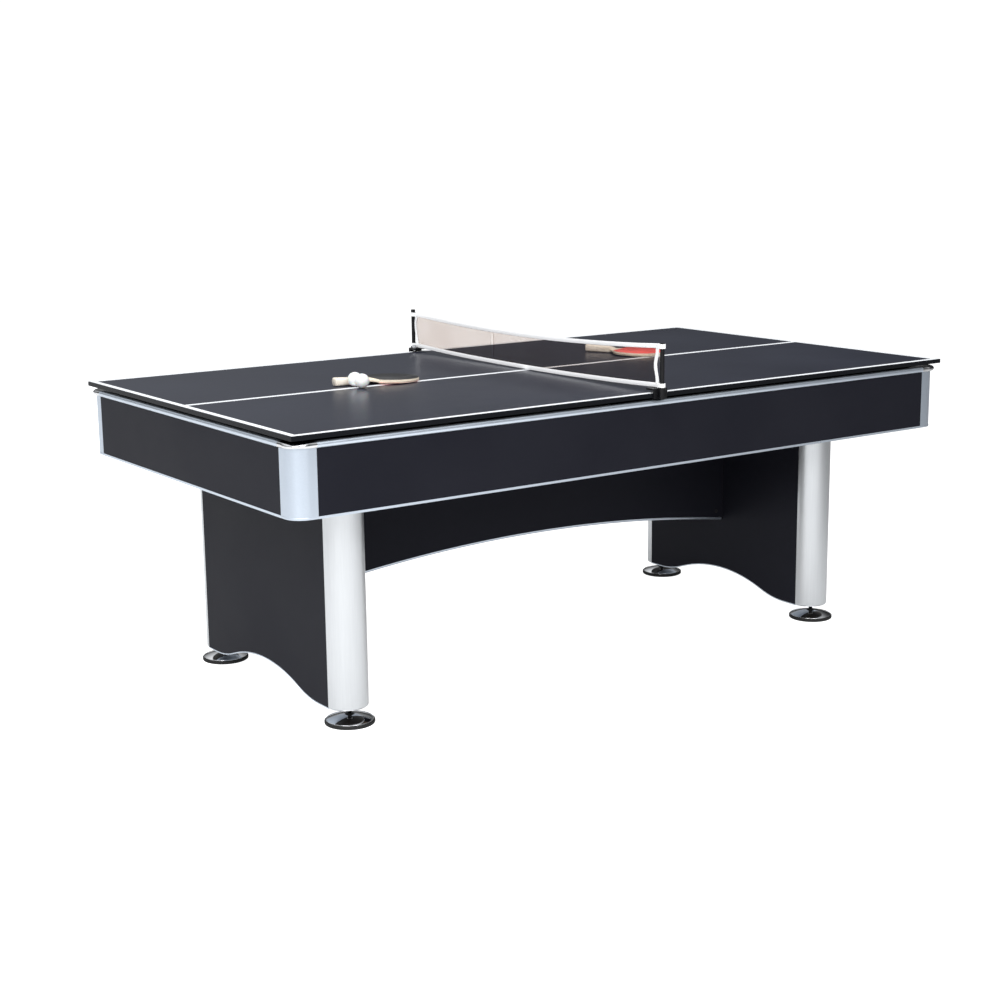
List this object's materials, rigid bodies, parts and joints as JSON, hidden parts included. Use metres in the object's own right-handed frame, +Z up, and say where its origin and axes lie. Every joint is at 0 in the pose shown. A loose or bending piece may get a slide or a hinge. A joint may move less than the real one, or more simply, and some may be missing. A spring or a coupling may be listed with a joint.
{
  "type": "pool table with table tennis conversion top",
  "caption": "Pool table on two pedestals with a lift-off table tennis top, clamp-on net, bats and balls.",
  "frame": {"origin": "on the floor under the middle of the table", "axes": "+X along the table's length, +Y across it, +Z up; front is -Y and left is -X"},
  "size_m": [2.222, 1.24, 0.943],
  "materials": {
    "black_laminate": "black melamine on board, satin",
    "silver_profile": "silver foil on a half-round board profile, satin",
    "silver_trim": "silver metallic plastic, satin",
    "chrome": "bright chrome plating",
    "black_plastic": "black moulded plastic",
    "raw_board": "bare fibreboard and pine",
    "bed_cloth": "woven billiard cloth",
    "cushion_rubber": "rubber covered in billiard cloth",
    "zinc_steel": "zinc plated steel",
    "pad_rubber": "black rubber",
    "tennis_top": "dark blue-grey painted fibreboard with white lines",
    "net_mesh": "fine open mesh",
    "net_tape": "white woven tape",
    "black_steel": "black powder coat",
    "bat_wood": "pale plywood, red and black rubber faces",
    "ball_white": "white, matt sheen"
  },
  "bodies": {
    "table": {"apron_front": "black_laminate", "apron_back": "black_laminate", "apron_left": "black_laminate", "apron_right": "black_laminate", "pedestal_left": "black_laminate", "pedestal_right": "black_laminate", "stretcher_board": "black_laminate", "rail_front_left": "black_laminate", "rail_front_right": "black_laminate", "rail_back_left": "black_laminate", "rail_back_right": "black_laminate", "rail_end_left": "black_laminate", "rail_end_right": "black_laminate", "column_left_front": "silver_profile", "column_left_back": "silver_profile", "column_right_front": "silver_profile", "column_right_back": "silver_profile", "corner_castings": "silver_trim", "rail_trims": "silver_trim", "apron_edge_strips": "silver_trim", "pedestal_edge_strips": "silver_trim", "stretcher_edge_strip": "silver_trim", "corner_pocket_caps": "chrome", "side_pocket_caps": "black_plastic", "pocket_cups": "black_plastic", "stretcher_screw_caps": "black_plastic", "bed_board": "raw_board", "cross_beams": "raw_board", "bed_cloth": "bed_cloth", "long_cushions": "cushion_rubber", "end_cushions": "cushion_rubber", "stretcher_brackets": "zinc_steel", "frame_bolts": "zinc_steel", "leveler_inserts": "zinc_steel"},
    "conversion_top": {"top_half_left": "tennis_top", "top_half_right": "tennis_top", "seam_dowels": "raw_board", "top_pads": "pad_rubber", "net_mesh": "net_mesh", "net_binding": "net_tape"},
    "net_end_front": {"net_clamp_front": "black_steel", "net_post_front": "black_steel"},
    "clamp_pad_front": {"clamp_pad_front": "pad_rubber"},
    "clamp_screw_front": {"clamp_screw_front": "chrome"},
    "net_end_back": {"net_clamp_back": "black_steel", "net_post_back": "black_steel"},
    "clamp_pad_back": {"clamp_pad_back": "pad_rubber"},
    "clamp_screw_back": {"clamp_screw_back": "chrome"},
    "bat_left": {"bat_left": "bat_wood"},
    "bat_right": {"bat_right": "bat_wood"},
    "ball_1": {"ball_1": "ball_white"},
    "ball_2": {"ball_2": "ball_white"},
    "leveler_pad_left_front": {"leveler_pad_left_front": "pad_rubber"},
    "leveler_left_front": {"leveler_left_front": "chrome"},
    "leveler_pad_left_back": {"leveler_pad_left_back": "pad_rubber"},
    "leveler_left_back": {"leveler_left_back": "chrome"},
    "leveler_pad_right_front": {"leveler_pad_right_front": "pad_rubber"},
    "leveler_right_front": {"leveler_right_front": "chrome"},
    "leveler_pad_right_back": {"leveler_pad_right_back": "pad_rubber"},
    "leveler_right_back": {"leveler_right_back": "chrome"}
  },
  "joints": [
    {"name": "conversion_top_lift", "type": "slide", "parent": "table", "child": "conversion_top", "axis": [0, 0, 1], "range_m": [0, 0.3]},
    {"name": "net_end_front_slide", "type": "slide", "parent": "conversion_top", "child": "net_end_front", "axis": [0, -1, 0], "range_m": [0, 0.03]},
    {"name": "clamp_pad_front_slide", "type": "slide", "parent": "net_end_front", "child": "clamp_pad_front", "axis": [0, 0, 1], "range_m": [0, 0.0035]},
    {"name": "clamp_screw_front_turn", "type": "hinge", "parent": "clamp_pad_front", "child": "clamp_screw_front", "pos_m": [0.013, -0.586, 0.82], "axis": [0, 0, 1], "range_deg": [0, 1250]},
    {"name": "net_end_back_slide", "type": "slide", "parent": "conversion_top", "child": "net_end_back", "axis": [0, 1, 0], "range_m": [0, 0.03]},
    {"name": "clamp_pad_back_slide", "type": "slide", "parent": "net_end_back", "child": "clamp_pad_back", "axis": [0, 0, 1], "range_m": [0, 0.0035]},
    {"name": "clamp_screw_back_turn", "type": "hinge", "parent": "clamp_pad_back", "child": "clamp_screw_back", "pos_m": [-0.013, 0.586, 0.82], "axis": [0, 0, 1], "range_deg": [0, 1250]},
    {"name": "bat_left_lift", "type": "slide", "parent": "conversion_top", "child": "bat_left", "axis": [0, 0, 1], "range_m": [0, 0.15]},
    {"name": "bat_right_lift", "type": "slide", "parent": "conversion_top", "child": "bat_right", "axis": [0, 0, 1], "range_m": [0, 0.15]},
    {"name": "ball_1_lift", "type": "slide", "parent": "conversion_top", "child": "ball_1", "axis": [0, 0, 1], "range_m": [0, 0.15]},
    {"name": "ball_2_lift", "type": "slide", "parent": "conversion_top", "child": "ball_2", "axis": [0, 0, 1], "range_m": [0, 0.15]},
    {"name": "leveler_left_front_travel", "type": "slide", "parent": "table", "child": "leveler_pad_left_front", "axis": [0, 0, -1], "range_m": [0, 0.015]},
    {"name": "leveler_left_front_turn", "type": "hinge", "parent": "leveler_pad_left_front", "child": "leveler_left_front", "pos_m": [-0.832, -0.356, 0.02], "axis": [0, 0, -1], "range_deg": [0, 3080]},
    {"name": "leveler_left_back_travel", "type": "slide", "parent": "table", "child": "leveler_pad_left_back", "axis": [0, 0, -1], "range_m": [0, 0.015]},
    {"name": "leveler_left_back_turn", "type": "hinge", "parent": "leveler_pad_left_back", "child": "leveler_left_back", "pos_m": [-0.832, 0.356, 0.02], "axis": [0, 0, -1], "range_deg": [0, 3080]},
    {"name": "leveler_right_front_travel", "type": "slide", "parent": "table", "child": "leveler_pad_right_front", "axis": [0, 0, -1], "range_m": [0, 0.015]},
    {"name": "leveler_right_front_turn", "type": "hinge", "parent": "leveler_pad_right_front", "child": "leveler_right_front", "pos_m": [0.832, -0.356, 0.02], "axis": [0, 0, -1], "range_deg": [0, 3080]},
    {"name": "leveler_right_back_travel", "type": "slide", "parent": "table", "child": "leveler_pad_right_back", "axis": [0, 0, -1], "range_m": [0, 0.015]},
    {"name": "leveler_right_back_turn", "type": "hinge", "parent": "leveler_pad_right_back", "child": "leveler_right_back", "pos_m": [0.832, 0.356, 0.02], "axis": [0, 0, -1], "range_deg": [0, 3080]}
  ],
  "couplings": [
    {"joint": "clamp_pad_front_slide", "follows": "clamp_screw_front_turn", "m_per_rad": 0.00015915},
    {"joint": "clamp_pad_back_slide", "follows": "clamp_screw_back_turn", "m_per_rad": 0.00015915},
    {"joint": "leveler_left_front_travel", "follows": "leveler_left_front_turn", "m_per_rad": 0.00027852},
    {"joint": "leveler_left_back_travel", "follows": "leveler_left_back_turn", "m_per_rad": 0.00027852},
    {"joint": "leveler_right_front_travel", "follows": "leveler_right_front_turn", "m_per_rad": 0.00027852},
    {"joint": "leveler_right_back_travel", "follows": "leveler_right_back_turn", "m_per_rad": 0.00027852}
  ]
}
